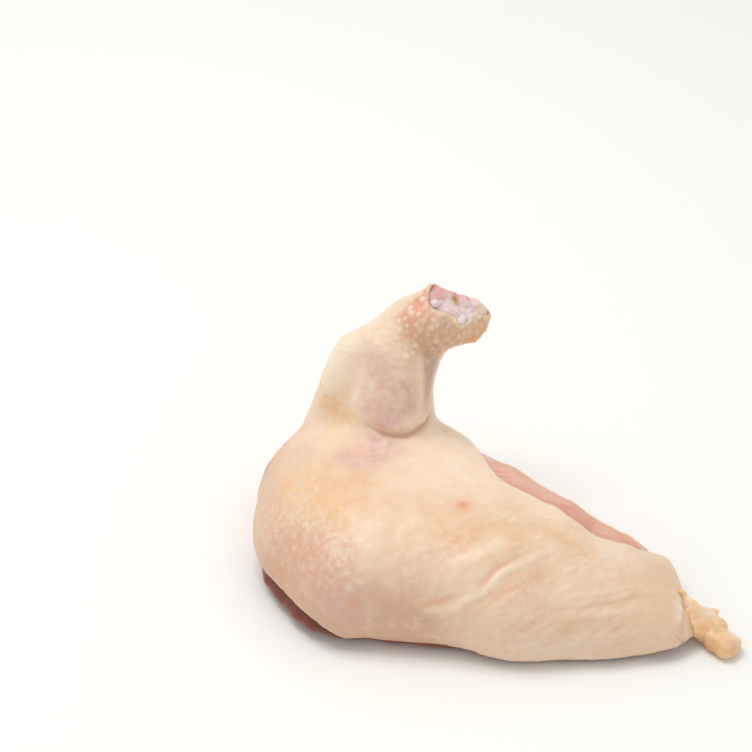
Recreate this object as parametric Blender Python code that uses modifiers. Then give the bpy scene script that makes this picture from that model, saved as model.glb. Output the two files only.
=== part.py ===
"""Raw chicken breast with its skin on and the upper wing bone left in.

The boned half breast lies on its cut side with the skin up. The stump of the wing, cut through
the elbow, stands up from the shoulder end, and a strip of skin and fat trails from the tip.
X runs along the breast from shoulder to tip, -Y is the side where the skin comes down to the
board, and the origin is on the board under the middle of the whole. Lengths named below are in
millimetres, and the model is in metres.
"""

import math

import bmesh
import bpy
import numpy as np
from mathutils import Vector
from mathutils.bvhtree import BVHTree

MM = 0.001

# Outline of the breast from above where it is widest, clockwise from the tip, as (x, y).
PLAN = ((82, -27), (72, -35), (55, -38.5), (34, -39.5), (15, -41), (-8, -36), (-36, -32),
        (-54, -28), (-67, -14), (-77, 3), (-80.5, 24), (-79, 47), (-70, 64), (-49, 73),
        (-22, 71), (0, 60), (24, 42), (45.4, 24.8), (61.4, 13.4), (75, 7.1), (77.7, -17.4))
PLAN_CENTRE = (-10.0, 12.0)
# Height of the crown over the board along the length, as (x, height).
CROWN = ((-82, 45), (-60, 47), (-25, 45.5), (5, 42.5), (30, 36.5), (52, 30), (68, 24.5), (82, 17))
GIRTH_SHARE = 0.18          # height of the widest outline, as a share of the crown
PLAN_POWER = 2.7            # 2 is an ellipse from edge to crown, more is boxier
CROWN_POWER = 2.0
UNDER_POWER = 3.5           # the same for the tuck under the widest outline
FLAT_SHARE = 1.1            # how far the tuck is carried past the board, then cut off flat

# The wing stump, a round limb: (x, y, z, radius) from inside the shoulder to past the elbow.
STUMP = ((-33, 54, 12, 15), (-30.5, 49.5, 34, 16), (-29, 49, 46, 17), (-28, 52.5, 58, 15.5),
         (-24.5, 55, 69.5, 14.5), (-19, 55.5, 78, 13), (-13, 55, 83.5, 12), (-6, 54.5, 83, 10),
         (1, 54, 80.5, 9), (5, 54, 78, 7.5))
STUMP_STRETCH = (1.0, 1.05, 1.0)
# The web of skin and fat that joins it to the shoulder, a flat fold.
WEB = ((-50, 60, 20, 14), (-46, 57, 38, 13), (-42, 55, 54, 13), (-38.5, 55, 65, 13),
       (-28, 55, 75, 9))
WEB_STRETCH = (1.0, 0.75, 1.0)
# The lobe of loose skin that hangs at the elbow.
LOBE = ((-10, 54, 79.5, 6.2), (-3, 53, 77.8, 6), (2.5, 52, 78, 5.5))
# The cut through the elbow: a point of the plane and the way it faces.
ELBOW_POINT = (-6.5, 54.8, 88.4)
ELBOW_FACING = (0.43, -0.25, 0.87)
MEAT_RECESS = 1.6           # how far the meat lies below that cut

# The bone of the stump, from the shoulder to the neck below the elbow's knuckles.
BONE = ((-32, 53, 24, 5.5), (-30.5, 52, 34, 3.9), (-28, 52.5, 50, 3.3), (-23, 54.5, 64, 3.4),
        (-16.5, 55, 76, 4.4), (-10, 54.8, 82.5, 5.5))
# The gristle knuckles at its end, and the ridge behind them: (x, y, z, radius).
KNUCKLES = ((-12.3, 53.6, 87.0, 5.0), (-2.8, 52.6, 82.6, 5.3), (-8, 55.0, 83.5, 5.5))
RIDGE = ((-13, 57.6, 87.6, 3.4), (-7, 58.2, 86.0, 3.6), (-1, 57.6, 83.2, 3.4))

# The strip of skin and fat at the tip, and the frill that joins it to the tip's edge.
STRIP = ((74, -20, 5.5, 5), (80, -23, 5.5, 5.2), (85.5, -27.5, 4.6, 5.2), (90, -31.5, 4.4, 6),
         (93, -34, 4.3, 5.8))
STRIP_STRETCH = (1.0, 1.0, 0.72)
FRILL = ((76, -6, 10, 2.2), (79, -13, 8.5, 2.6), (81, -20, 6, 3.6))

# The main fold of the skin, where it is gathered over the breast: points on it from above.
FOLD = ((-15, -25), (0, -24), (9, -20), (20, -13), (35, -8.5), (43, -3))
FOLD_HEIGHT = 1.2
FOLD_WIDTH = 3.2
FOLD_FROM = (6, 12)         # height over which the fold rises out of the hem

# Where the joined form is relaxed: over the web, behind the stump and a little at the elbow.
SOFT_WEB = ((-36, -46), (30, 40))       # ranges of x and of z
SOFT_BEHIND = ((58, 66), (25, 35))      # ranges of y and of z
SOFT_ELBOW = (66, 74)                   # range of z
SOFT_ELBOW_SHARE = 0.35
SOFT_ROUNDS = 30

# Where the skin ends. Along the back its edge is cut, and bare meat shows behind it.
BACK_EDGE = ((-60, 90), (-8, 72), (0, 50), (4, 33), (7, 23), (10.5, 15.5), (16, 12.8),
             (24, 9.8), (31.5, 7), (38.5, 2.4), (45, -1.8), (49.5, -1), (53.5, 0.4), (61, 1.2),
             (68.6, 3.8), (73.2, 4.6), (75.4, -1), (76.6, -8), (77.4, -14), (79, -20),
             (81, -26), (83, -36))
SHOULDER_EDGE = ((-30, -90), (10, -90), (14, -82), (18, -79.4), (26, -77.8), (34, -76),
                 (40, -74), (45, -71), (51, -67.0), (56, -63), (66, -50), (76, -30))
HEM_FRONT = 2.0             # height of the skin's lower edge over the board
HEM_SHOULDER = 12.5
HEM_BACK = 15.0
HEM_BACK_FROM = (35, 55)    # y over which the hem rises to the back
HEM_SHOULDER_FROM = (-34, -64)  # x over which it rises to the shoulder
STUMP_FOOT = (44, 50)       # height from which the skin goes all round the stump
STUMP_COVER = 12.0

SKIN_THICK = 1.8
SKIN_GAP = 0.5              # clearance between skin and meat
BARE_DEPTH = 0.7            # how far the bare meat lies below the line of the skin
BONE_GAP = 0.7
CLEAR_ROUNDS = 12           # times the meat is pressed clear of the skin
PRESS_LIMIT = 0.8           # deepest press in one round
BARE_BLEND = (-5.5, -1.5)   # cover over which the meat sinks from bare to under the skin
SOLE_SNAP = 0.5             # meat lower than this lies flat on the board

FINE_VOXEL = 1.1
SKIN_VOXEL = 3.8
MEAT_VOXEL = 5.7
BONE_VOXEL = 2.7
STRIP_VOXEL = 2.8
EDGE_ROUNDS = 14            # times the open edge is slid onto the edge line
EDGE_STEP = 1.2             # furthest move in one round
EDGE_EASE = 0.4             # share by which neighbours along the edge are evened out
SHARP_ANGLE = 50            # degrees over which an edge stays sharp


def station_value(stations, at):
    """Read a smooth curve through (place, value) stations."""
    places = np.array([row[0] for row in stations], float)
    values = np.array([row[1] for row in stations], float)
    slopes = np.gradient(values, places)
    at = np.clip(at, places[0], places[-1])
    index = np.clip(np.searchsorted(places, at) - 1, 0, len(places) - 2)
    span = places[index + 1] - places[index]
    t = (at - places[index]) / span
    start, end = values[index], values[index + 1]
    tangent_in, tangent_out = slopes[index] * span, slopes[index + 1] * span
    return ((2 * t**3 - 3 * t**2 + 1) * start + (t**3 - 2 * t**2 + t) * tangent_in
            + (3 * t**2 - 2 * t**3) * end + (t**3 - t**2) * tangent_out)


def smooth_step(low, high, value):
    """Rise smoothly from 0 at low to 1 at high."""
    t = np.clip((value - low) / (high - low), 0.0, 1.0)
    return t * t * (3.0 - 2.0 * t)


def closed_spline(points, steps=12):
    """Points along a closed Catmull-Rom curve through the given ones."""
    ring = np.array(points, float)
    t = np.linspace(0.0, 1.0, steps, endpoint=False)[:, None]
    before, after, beyond = (np.roll(ring, shift, axis=0) for shift in (1, -1, -2))
    pieces = [0.5 * (2 * b + (c - a) * t + (2 * a - 5 * b + 4 * c - d) * t**2
                     + (3 * b - a - 3 * c + d) * t**3)
              for a, b, c, d in zip(before, ring, after, beyond)]
    return np.concatenate(pieces)


def plan_reach(angle):
    """Distance from the plan's centre to the outline at each angle."""
    outline = closed_spline(PLAN) - np.array(PLAN_CENTRE)
    angles = np.arctan2(outline[:, 1], outline[:, 0])
    order = np.argsort(angles)
    return np.interp(angle, angles[order], np.hypot(*outline.T)[order], period=2 * math.pi)


def vertex_array(mesh):
    """The mesh's vertex positions in millimetres, as an (n, 3) array."""
    flat = np.empty(len(mesh.vertices) * 3, np.float32)
    mesh.vertices.foreach_get("co", flat)
    return flat.reshape(-1, 3).astype(float) / MM


def set_vertices(mesh, points):
    """Move the mesh's vertices to positions in millimetres."""
    mesh.vertices.foreach_set("co", (np.asarray(points) * MM).astype(np.float32).ravel())
    mesh.update()


def normal_array(mesh):
    """The mesh's vertex normals, as an (n, 3) array."""
    flat = np.empty(len(mesh.vertices) * 3, np.float32)
    mesh.vertex_normals.foreach_get("vector", flat)
    return flat.reshape(-1, 3).astype(float)


def new_object(name, mesh, collection):
    """Put a mesh into a collection under a name."""
    mesh.name = name
    obj = bpy.data.objects.new(name, mesh)
    collection.objects.link(obj)
    return obj


def baked(obj):
    """Replace an object's mesh by what its modifiers make of it."""
    bpy.context.view_layer.update()
    graph = bpy.context.evaluated_depsgraph_get()
    mesh = bpy.data.meshes.new_from_object(obj.evaluated_get(graph), depsgraph=graph)
    obj.modifiers.clear()
    if obj.type == "MESH":
        obj.data = mesh
    return mesh


def remesh(obj, voxel, smoothing):
    """Wrap an object in even quads of one size, then relax them."""
    wrap = obj.modifiers.new("wrap", "REMESH")
    wrap.mode = "VOXEL"
    wrap.voxel_size = voxel * MM
    relax = obj.modifiers.new("relax", "SMOOTH")
    relax.factor = 0.5
    relax.iterations = smoothing


def cling(obj, target):
    """Pull an object's surface onto another one, and ease what that pinches in a crease."""
    wrap = obj.modifiers.new("cling", "SHRINKWRAP")
    wrap.target = target
    wrap.wrap_method = "NEAREST_SURFACEPOINT"
    ease = obj.modifiers.new("ease", "SMOOTH")
    ease.factor = 0.5
    ease.iterations = 2


def breast_mesh():
    """A ball drawn out to the breast's plan and crown, flat underneath."""
    ball = bmesh.new()
    bmesh.ops.create_uvsphere(ball, u_segments=96, v_segments=48, radius=1.0)
    mesh = bpy.data.meshes.new("breast")
    ball.to_mesh(mesh)
    ball.free()
    unit = vertex_array(mesh) * MM
    angle = np.arctan2(unit[:, 1], unit[:, 0])
    level = np.clip(np.abs(unit[:, 2]), 0.0, 1.0)
    spread = np.sqrt(1.0 - level**2)
    upper = unit[:, 2] >= 0.0
    reach = plan_reach(angle) * np.where(upper, spread ** (2 / PLAN_POWER),
                                         spread ** (2 / UNDER_POWER))
    x = PLAN_CENTRE[0] + reach * np.cos(angle)
    y = PLAN_CENTRE[1] + reach * np.sin(angle)
    crown = station_value(CROWN, x)
    girth = GIRTH_SHARE * crown
    z = np.where(upper, girth + (crown - girth) * level ** (2 / CROWN_POWER),
                 girth * np.maximum(1.0 - FLAT_SHARE * level ** (2 / UNDER_POWER), 0.0))
    set_vertices(mesh, np.column_stack((x, y, z)))
    return mesh


def limb_mesh(name, stations, stretch=(1.0, 1.0, 1.0)):
    """A round limb through (x, y, z, radius) stations, its sections stretched by axis."""
    curve = bpy.data.curves.new(name, "CURVE")
    curve.dimensions = "3D"
    curve.bevel_depth = MM
    curve.bevel_resolution = 6
    curve.resolution_u = 8
    curve.use_fill_caps = True
    spline = curve.splines.new("NURBS")
    spline.points.add(len(stations) - 1)
    spline.order_u = 3
    spline.use_endpoint_u = True
    stretch = np.array(stretch)
    for point, row in zip(spline.points, stations):
        point.co = (*(np.array(row[:3]) / stretch * MM), 1.0)
        point.radius = row[3]
    obj = bpy.data.objects.new(name, curve)
    bpy.context.scene.collection.objects.link(obj)
    mesh = baked(obj)
    bpy.data.objects.remove(obj)
    set_vertices(mesh, vertex_array(mesh) * stretch)
    return mesh


def joined(meshes):
    """One mesh of several, with their own faces kept."""
    work = bmesh.new()
    for mesh in meshes:
        work.from_mesh(mesh)
    bmesh.ops.remove_doubles(work, verts=work.verts[:], dist=0.0001 * MM)
    bmesh.ops.recalc_face_normals(work, faces=work.faces[:])
    mesh = bpy.data.meshes.new("joined")
    work.to_mesh(mesh)
    work.free()
    return mesh


def polyline_distance(points, line):
    """Distance in plan from each point to a polyline, and how far along it, from 0 to 1."""
    line = np.array(line, float)
    best = np.full(len(points), np.inf)
    along = np.zeros(len(points))
    for index in range(len(line) - 1):
        start, step = line[index], line[index + 1] - line[index]
        t = np.clip(((points[:, :2] - start) @ step) / (step @ step), 0.0, 1.0)
        away = np.linalg.norm(points[:, :2] - start - t[:, None] * step, axis=1)
        nearer = away < best
        best = np.where(nearer, away, best)
        along = np.where(nearer, (index + t) / (len(line) - 1), along)
    return best, along


def elbow_height(points):
    """Height of each point over the plane of the elbow cut."""
    facing = np.array(ELBOW_FACING) / np.linalg.norm(ELBOW_FACING)
    return (points - np.array(ELBOW_POINT)) @ facing


def skin_cover(points):
    """How far inside the skin's edge each point lies, negative where the meat is bare."""
    x, y, z = points.T
    back = station_value(BACK_EDGE, x)
    steepness = station_value(BACK_EDGE, x + 0.5) - station_value(BACK_EDGE, x - 0.5)
    inside_back = (back - y) / np.hypot(1.0, steepness)
    inside_shoulder = x - station_value(SHOULDER_EDGE, y)
    toward_back = smooth_step(*HEM_BACK_FROM, y)
    toward_shoulder = smooth_step(*HEM_SHOULDER_FROM, x) * (1.0 - toward_back)
    hem = HEM_FRONT + (HEM_SHOULDER - HEM_FRONT) * toward_shoulder
    hem = hem + (HEM_BACK - hem) * toward_back
    cover = np.minimum(np.minimum(inside_back, inside_shoulder), z - hem)
    on_stump = smooth_step(*STUMP_FOOT, z)
    cover = cover * (1.0 - on_stump) + np.maximum(cover, STUMP_COVER) * on_stump
    return np.minimum(cover, -elbow_height(points))


def whole_form(collection):
    """The breast and the wing stump as one fine surface, the skin's outer face."""
    raw = joined((breast_mesh(), limb_mesh("stump", STUMP, STUMP_STRETCH),
                  limb_mesh("web", WEB, WEB_STRETCH), limb_mesh("lobe", LOBE)))
    form = new_object("form", raw, collection)
    remesh(form, FINE_VOXEL, 3)
    baked(form)
    soften(form)
    mesh = form.data
    points = vertex_array(mesh)
    away, along = polyline_distance(points, FOLD)
    ridge = np.exp(-(away / FOLD_WIDTH) ** 2) * np.sin(math.pi * np.clip(along, 0, 1)) ** 0.6
    ridge *= smooth_step(*FOLD_FROM, points[:, 2])
    set_vertices(mesh, points + normal_array(mesh) * (FOLD_HEIGHT * ridge)[:, None])
    return form


def soften(form):
    """Relax the web into the shoulder, and leave the crease round the stump's foot tight."""
    points = vertex_array(form.data)
    x, y, z = points.T
    web_side = smooth_step(*SOFT_WEB[0], x) * smooth_step(*SOFT_WEB[1], z)
    behind = smooth_step(*SOFT_BEHIND[0], y) * smooth_step(*SOFT_BEHIND[1], z)
    elbow = smooth_step(*SOFT_ELBOW, z) * SOFT_ELBOW_SHARE
    weight = np.clip(np.maximum(np.maximum(web_side, behind), elbow), 0.0, 1.0)
    group = form.vertex_groups.new(name="soft")
    for index, value in enumerate(weight):
        if value > 0.01:
            group.add([index], float(value), "REPLACE")
    relax = form.modifiers.new("soften", "SMOOTH")
    relax.factor = 0.5
    relax.iterations = SOFT_ROUNDS
    relax.vertex_group = "soft"
    baked(form)
    form.vertex_groups.clear()


def trim_to_skin(obj, form):
    """Cut an even wrap of the form back to the skin's edge, with the edge drawn smooth."""
    work = bmesh.new()
    work.from_mesh(obj.data)
    centres = np.array([tuple(face.calc_center_median()) for face in work.faces]) / MM
    outside = skin_cover(centres) < 0.0
    bare = [face for face, gone in zip(work.faces, outside) if gone]
    bmesh.ops.delete(work, geom=bare, context="FACES")
    largest_piece_only(work)
    cut_corners(work)
    tree = BVHTree.FromPolygons(form_points(form), form_faces(form))
    for _ in range(EDGE_ROUNDS):
        slide_edge(work, tree)
    work.to_mesh(obj.data)
    work.free()


def cut_corners(work):
    """Cut off the quads that stick out of the open edge by a corner, along their diagonal."""
    for _ in range(3):
        corners = [vert for vert in work.verts if len(vert.link_faces) == 1]
        for vert in corners:
            if not vert.is_valid or len(vert.link_faces) != 1:
                continue
            face = vert.link_faces[0]
            if len(face.verts) == 4:
                rest = [other for other in face.verts if other is not vert]
                bmesh.ops.delete(work, geom=[vert], context="VERTS")
                work.faces.new(rest)
            else:
                bmesh.ops.delete(work, geom=[vert], context="VERTS")
    bmesh.ops.recalc_face_normals(work, faces=work.faces[:])


def form_points(form):
    """The form's vertices as plain tuples."""
    return [tuple(point) for point in vertex_array(form.data)]


def form_faces(form):
    """The form's faces as tuples of vertex numbers."""
    return [tuple(face.vertices) for face in form.data.polygons]


def largest_piece_only(work):
    """Delete all but the largest connected piece."""
    unseen = set(work.faces)
    pieces = []
    while unseen:
        stack = [unseen.pop()]
        piece = set(stack)
        while stack:
            for edge in stack.pop().edges:
                for face in edge.link_faces:
                    if face in unseen:
                        unseen.discard(face)
                        piece.add(face)
                        stack.append(face)
        pieces.append(piece)
    keep = max(pieces, key=len)
    scrap = [face for piece in pieces if piece is not keep for face in piece]
    bmesh.ops.delete(work, geom=scrap, context="FACES")
    loose = [vert for vert in work.verts if not vert.link_faces]
    bmesh.ops.delete(work, geom=loose, context="VERTS")


def slide_edge(work, tree):
    """Move the open edge onto the skin's edge line, and relax the quads next to it."""
    verts = list(work.verts)
    index_of = {vert: index for index, vert in enumerate(verts)}
    points = np.array([tuple(vert.co) for vert in verts]) / MM
    moved = points.copy()
    step = 0.25
    cover = skin_cover(points)
    slope = np.column_stack([
        (skin_cover(points + offset) - skin_cover(points - offset)) / (2 * step)
        for offset in np.eye(3) * step])
    for vert in verts:
        here = index_of[vert]
        if vert.is_boundary:
            ring = [index_of[edge.other_vert(vert)] for edge in vert.link_edges
                    if edge.is_boundary]
            gradient = slope[here]
            shift = -cover[here] * gradient / max(gradient @ gradient, 0.2)
            length = np.linalg.norm(shift)
            if length > EDGE_STEP:
                shift *= EDGE_STEP / length
            relaxed = points[ring].mean(axis=0) - points[here]
            moved[here] = points[here] + EDGE_EASE * relaxed + 0.8 * shift
        elif any(edge.other_vert(vert).is_boundary for edge in vert.link_edges):
            ring = [index_of[edge.other_vert(vert)] for edge in vert.link_edges]
            moved[here] = 0.5 * points[here] + 0.5 * points[ring].mean(axis=0)
    for vert in verts:
        here = index_of[vert]
        if (moved[here] != points[here]).any():
            spot, _, _, _ = tree.find_nearest(Vector(moved[here]))
            vert.co = spot * MM


def finish(obj, name, colour, roughness):
    """Give a piece its plain material, and shade it smooth up to its cut edges."""
    material = bpy.data.materials.new(name)
    material.use_nodes = True
    shader = material.node_tree.nodes["Principled BSDF"]
    shader.inputs["Base Color"].default_value = (*colour, 1.0)
    shader.inputs["Roughness"].default_value = roughness
    shader.inputs["Metallic"].default_value = 0.0
    obj.data.materials.append(material)
    obj.data.shade_smooth()
    obj.data.set_sharp_from_angle(angle=math.radians(SHARP_ANGLE))


def make_skin(form, collection):
    """The skin: one sheet over the breast and up the wing stump, with a real thickness."""
    skin = new_object("skin", form.data.copy(), collection)
    remesh(skin, SKIN_VOXEL, 5)
    cling(skin, form)
    baked(skin)
    trim_to_skin(skin, form)
    sheet = skin.modifiers.new("thickness", "SOLIDIFY")
    sheet.thickness = SKIN_THICK * MM
    sheet.offset = -1.0
    baked(skin)
    finish(skin, "raw_skin", (0.80, 0.55, 0.38), 0.4)
    return skin


def make_room(obj, gap, cutters):
    """A cutter of an object's own shape, larger by a gap all round."""
    room = new_object(obj.name + "_room", obj.data.copy(), cutters)
    set_vertices(room.data, vertex_array(room.data) + normal_array(room.data) * gap)
    hide_as_cutter(room)
    return room


def keep_clear(meat, skin):
    """Press the meat in wherever its large faces would reach into the skin."""
    cover = bmesh.new()
    cover.from_mesh(skin.data)
    skin_tree = BVHTree.FromBMesh(cover)
    skin_spots = [blend(verts) for verts in spread_samples(cover)]
    cover.free()
    work = bmesh.new()
    work.from_mesh(meat.data)
    for _ in range(CLEAR_ROUNDS):
        work.normal_update()
        work.faces.ensure_lookup_table()
        press = {}
        for verts in spread_samples(work):
            spot = blend(verts)
            outward = sum((share * vert.normal for vert, share in verts), Vector())
            near, facing, _, away = skin_tree.find_nearest(spot)
            if facing.dot(outward) < 0.0:
                need = SKIN_GAP * MM - (spot - near).dot(facing)
            else:
                need = (SKIN_THICK + SKIN_GAP) * MM if away < SKIN_THICK * MM else 0.0
            for vert, _ in verts:
                press[vert] = max(press.get(vert, 0.0), need)
        meat_tree = BVHTree.FromBMesh(work)
        for spot in skin_spots:
            near, facing, index, _ = meat_tree.find_nearest(spot)
            need = SKIN_GAP * MM - (spot - near).dot(facing)
            for vert in work.faces[index].verts:
                press[vert] = max(press.get(vert, 0.0), need)
        for vert, need in press.items():
            if need > 0.0:
                vert.co -= vert.normal * min(need, PRESS_LIMIT * MM)
    work.to_mesh(meat.data)
    work.free()


def spread_samples(work):
    """Weighted vertices for spots spread over a mesh: corners, along edges and in faces."""
    for vert in work.verts:
        yield ((vert, 1.0),)
    for edge in work.edges:
        for share in (0.25, 0.5, 0.75):
            yield tuple(zip(edge.verts, (share, 1.0 - share)))
    for face in work.faces:
        yield tuple((vert, 1.0 / len(face.verts)) for vert in face.verts)


def blend(verts):
    """The spot that weighted vertices stand for."""
    return sum((share * vert.co for vert, share in verts), Vector())


def make_meat(form, skin, bone_room, collection, cutters):
    """The meat: the same form, sunk under the skin where that covers it, flat below."""
    mesh = form.data.copy()
    points = vertex_array(mesh)
    under_skin = smooth_step(*BARE_BLEND, skin_cover(points))
    depth = BARE_DEPTH + (SKIN_THICK + SKIN_GAP - BARE_DEPTH) * under_skin
    inward = normal_array(mesh) * depth[:, None]
    inward[:, 2] *= smooth_step(0.5, 2.0, points[:, 2])
    set_vertices(mesh, points - inward)
    core = new_object("core", mesh, cutters)
    hide_as_cutter(core)
    meat = new_object("breast_meat", mesh.copy(), collection)
    remesh(meat, MEAT_VOXEL, 4)
    cling(meat, core)
    baked(meat)
    points = vertex_array(meat.data)
    points[points[:, 2] < SOLE_SNAP, 2] = 0.0
    set_vertices(meat.data, points)
    keep_clear(meat, skin)
    for cutter in (elbow_cutter(cutters), bone_room):
        cut = meat.modifiers.new("cut_" + cutter.name, "BOOLEAN")
        cut.object = cutter
        cut.operation = "DIFFERENCE"
    baked(meat)
    work = bmesh.new()
    work.from_mesh(meat.data)
    largest_piece_only(work)
    work.to_mesh(meat.data)
    work.free()
    finish(meat, "raw_meat", (0.62, 0.27, 0.22), 0.35)


def elbow_cutter(cutters):
    """A block whose lower face lies just below the elbow cut."""
    block = bmesh.new()
    bmesh.ops.create_cube(block, size=60 * MM)
    mesh = bpy.data.meshes.new("elbow_cutter")
    block.to_mesh(mesh)
    block.free()
    cutter = new_object("elbow_cutter", mesh, cutters)
    facing = Vector(ELBOW_FACING).normalized()
    cutter.rotation_euler = facing.to_track_quat("Z", "Y").to_euler()
    cutter.location = (Vector(ELBOW_POINT) + facing * (30 - MEAT_RECESS)) * MM
    hide_as_cutter(cutter)
    return cutter


def ball_mesh(name, x, y, z, radius):
    """A ball at a place."""
    ball = bmesh.new()
    bmesh.ops.create_uvsphere(ball, u_segments=24, v_segments=16, radius=radius * MM)
    bmesh.ops.translate(ball, verts=ball.verts, vec=Vector((x, y, z)) * MM)
    mesh = bpy.data.meshes.new(name)
    ball.to_mesh(mesh)
    ball.free()
    return mesh


def make_bone(collection):
    """The wing bone with its gristle knuckles."""
    raw = joined([limb_mesh("shaft", BONE), limb_mesh("ridge", RIDGE)]
                 + [ball_mesh("knuckle", *knuckle) for knuckle in KNUCKLES])
    bone = new_object("wing_bone", raw, collection)
    remesh(bone, BONE_VOXEL, 4)
    baked(bone)
    finish(bone, "gristle", (0.80, 0.70, 0.72), 0.25)
    return bone


def make_strip(form, collection, cutters):
    """The strip of skin and fat that trails on the board from the tip."""
    raw = joined((limb_mesh("strip", STRIP, STRIP_STRETCH), limb_mesh("frill", FRILL)))
    strip = new_object("tip_strip", raw, collection)
    remesh(strip, STRIP_VOXEL, 3)
    baked(strip)
    points = vertex_array(strip.data)
    points[:, 2] = np.maximum(points[:, 2], 0.0)
    set_vertices(strip.data, points)
    cut = strip.modifiers.new("cut_tip", "BOOLEAN")
    cut.object = make_room(form, SKIN_GAP, cutters)
    cut.operation = "DIFFERENCE"
    baked(strip)
    finish(strip, "raw_fat", (0.80, 0.58, 0.33), 0.35)


def centre_on_board(parts, cutters):
    """Move everything so that the origin lies on the board under the middle of the whole."""
    bpy.context.view_layer.update()
    graph = bpy.context.evaluated_depsgraph_get()
    corners = []
    for obj in parts.objects:
        whole = obj.evaluated_get(graph)
        corners += [whole.matrix_world @ Vector(corner) for corner in whole.bound_box]
    low = Vector(min(corner[axis] for corner in corners) for axis in range(3))
    high = Vector(max(corner[axis] for corner in corners) for axis in range(3))
    shift = Vector(((low.x + high.x) / 2, (low.y + high.y) / 2, low.z))
    for obj in list(parts.objects) + list(cutters.objects):
        obj.location -= shift


def hide_as_cutter(obj):
    """Show a cutter only as wires, and never in a picture."""
    obj.hide_render = True
    obj.display_type = "WIRE"


def main():
    """Clear the file, then build the form and from it each piece."""
    for obj in list(bpy.data.objects):
        bpy.data.objects.remove(obj)
    parts = bpy.data.collections.new("raw_chicken_breast")
    cutters = bpy.data.collections.new("cutters")
    for collection in (parts, cutters):
        bpy.context.scene.collection.children.link(collection)
    form = whole_form(cutters)
    hide_as_cutter(form)
    skin = make_skin(form, parts)
    bone_room = make_room(make_bone(parts), BONE_GAP, cutters)
    make_meat(form, skin, bone_room, parts, cutters)
    make_strip(form, parts, cutters)
    centre_on_board(parts, cutters)


main()
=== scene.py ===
import math

import bmesh
import bpy
import numpy as np
from mathutils import Matrix, Vector, noise
from mathutils.bvhtree import BVHTree
from mathutils.kdtree import KDTree


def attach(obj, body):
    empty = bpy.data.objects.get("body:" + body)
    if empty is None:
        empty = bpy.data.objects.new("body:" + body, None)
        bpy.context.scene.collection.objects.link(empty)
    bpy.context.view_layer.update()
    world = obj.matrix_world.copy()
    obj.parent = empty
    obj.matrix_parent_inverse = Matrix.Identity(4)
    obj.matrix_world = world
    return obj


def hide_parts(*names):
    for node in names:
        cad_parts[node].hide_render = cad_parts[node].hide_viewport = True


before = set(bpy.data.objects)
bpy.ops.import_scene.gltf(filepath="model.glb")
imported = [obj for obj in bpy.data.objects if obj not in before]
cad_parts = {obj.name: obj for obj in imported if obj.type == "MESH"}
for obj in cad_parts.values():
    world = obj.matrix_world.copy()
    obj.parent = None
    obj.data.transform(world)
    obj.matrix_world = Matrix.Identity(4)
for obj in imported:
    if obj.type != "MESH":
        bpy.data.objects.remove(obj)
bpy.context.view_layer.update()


# The view: one piece lying on a board, seen from in front and from 38 degrees above, through a
# long lens that keeps the far end nearly as large as the near one.
MM = 0.001
CAMERA_PLACE = (-42.1, -685.7, 623.0)       # millimetres
CAMERA_PITCH = 52.0                         # degrees up from looking straight down

camera = bpy.data.objects.new("camera", bpy.data.cameras.new("camera"))
camera.data.lens = 120.0
camera.data.sensor_width = 36.0
camera.data.clip_end = 10.0
camera.location = Vector(CAMERA_PLACE) * MM
camera.rotation_euler = (math.radians(CAMERA_PITCH), 0.0, 0.0)
bpy.context.scene.collection.objects.link(camera)
bpy.context.scene.camera = camera


# The meat: the big breast muscle and the flesh of the wing stump, raw, pink and wet. It is one
# soft body, cut flat on the bones' side below. Its long fibres run from the shoulder to the tip,
# and at the elbow it swells out of the cut between the knuckles.
MEAT_VOXEL = 0.75
FIBRE_LENGTH = 18.0
FIBRE_WIDTH = 1.6
# The elbow's cut: its middle, the way it faces, and the way that is right along it.
ELBOW_MIDDLE = (-12.9, 37.1, 86.8)
ELBOW_OUT = Vector((0.426, -0.253, 0.869)).normalized()
ELBOW_RIGHT = Vector((0.9, 0.025, -0.434)).normalized()
ELBOW_BACK = ELBOW_OUT.cross(ELBOW_RIGHT)
# Flesh that fills the cut and swells out of it: right, back, out, and three radii.
FLESH_SWELLS = ((-1.0, 2.4, -4.5, 10.6, 6.6, 5.6), (-8.4, 1.6, -3.0, 3.6, 4.8, 3.6),
                (-9.6, 3.6, -1.2, 2.8, 3.4, 3.0), (-10.2, 0.9, -1.9, 2.2, 2.8, 2.6),
                (-10.2, 6.8, -0.6, 2.6, 2.6, 2.8), (-11.4, 4.2, -0.8, 2.0, 2.8, 2.6),
                (-7.6, 5.6, -0.5, 3.8, 2.8, 3.2), (-3.0, 6.0, -0.3, 3.6, 2.8, 3.0),
                (1.6, 6.0, -0.3, 3.4, 2.8, 3.0), (6.2, 6.4, 0.0, 3.4, 2.8, 3.0),
                (9.2, 5.2, -0.6, 2.8, 3.0, 2.8), (-4.5, -0.6, -2.4, 4.8, 2.8, 3.3),
                (-8.0, -1.2, -2.4, 3.0, 2.0, 2.6), (1.6, -2.6, -2.9, 3.6, 3.2, 3.1),
                (5.5, 1.0, -2.2, 4.6, 3.6, 3.4))
AMBER_SPOTS = ((-2.6, 4.6, 2.4, 1.1, 1.0), (-1.6, 3.6, 2.3, 1.2, 1.2), (-0.7, 2.8, 2.0, 1.0, 0.9))
# How far the foot stands out below the skin's hem in front, by x.
FOOT_REACH = ((-86, 0.5), (-80, 2.4), (-74, 3.8), (-68, 3.8), (-61, 3.8), (-50, 6.0), (-35, 7.6),
              (-20, 7.8), (-8, 7.4), (4, 5.5), (14, 3.0), (24, 0.0))
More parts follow.
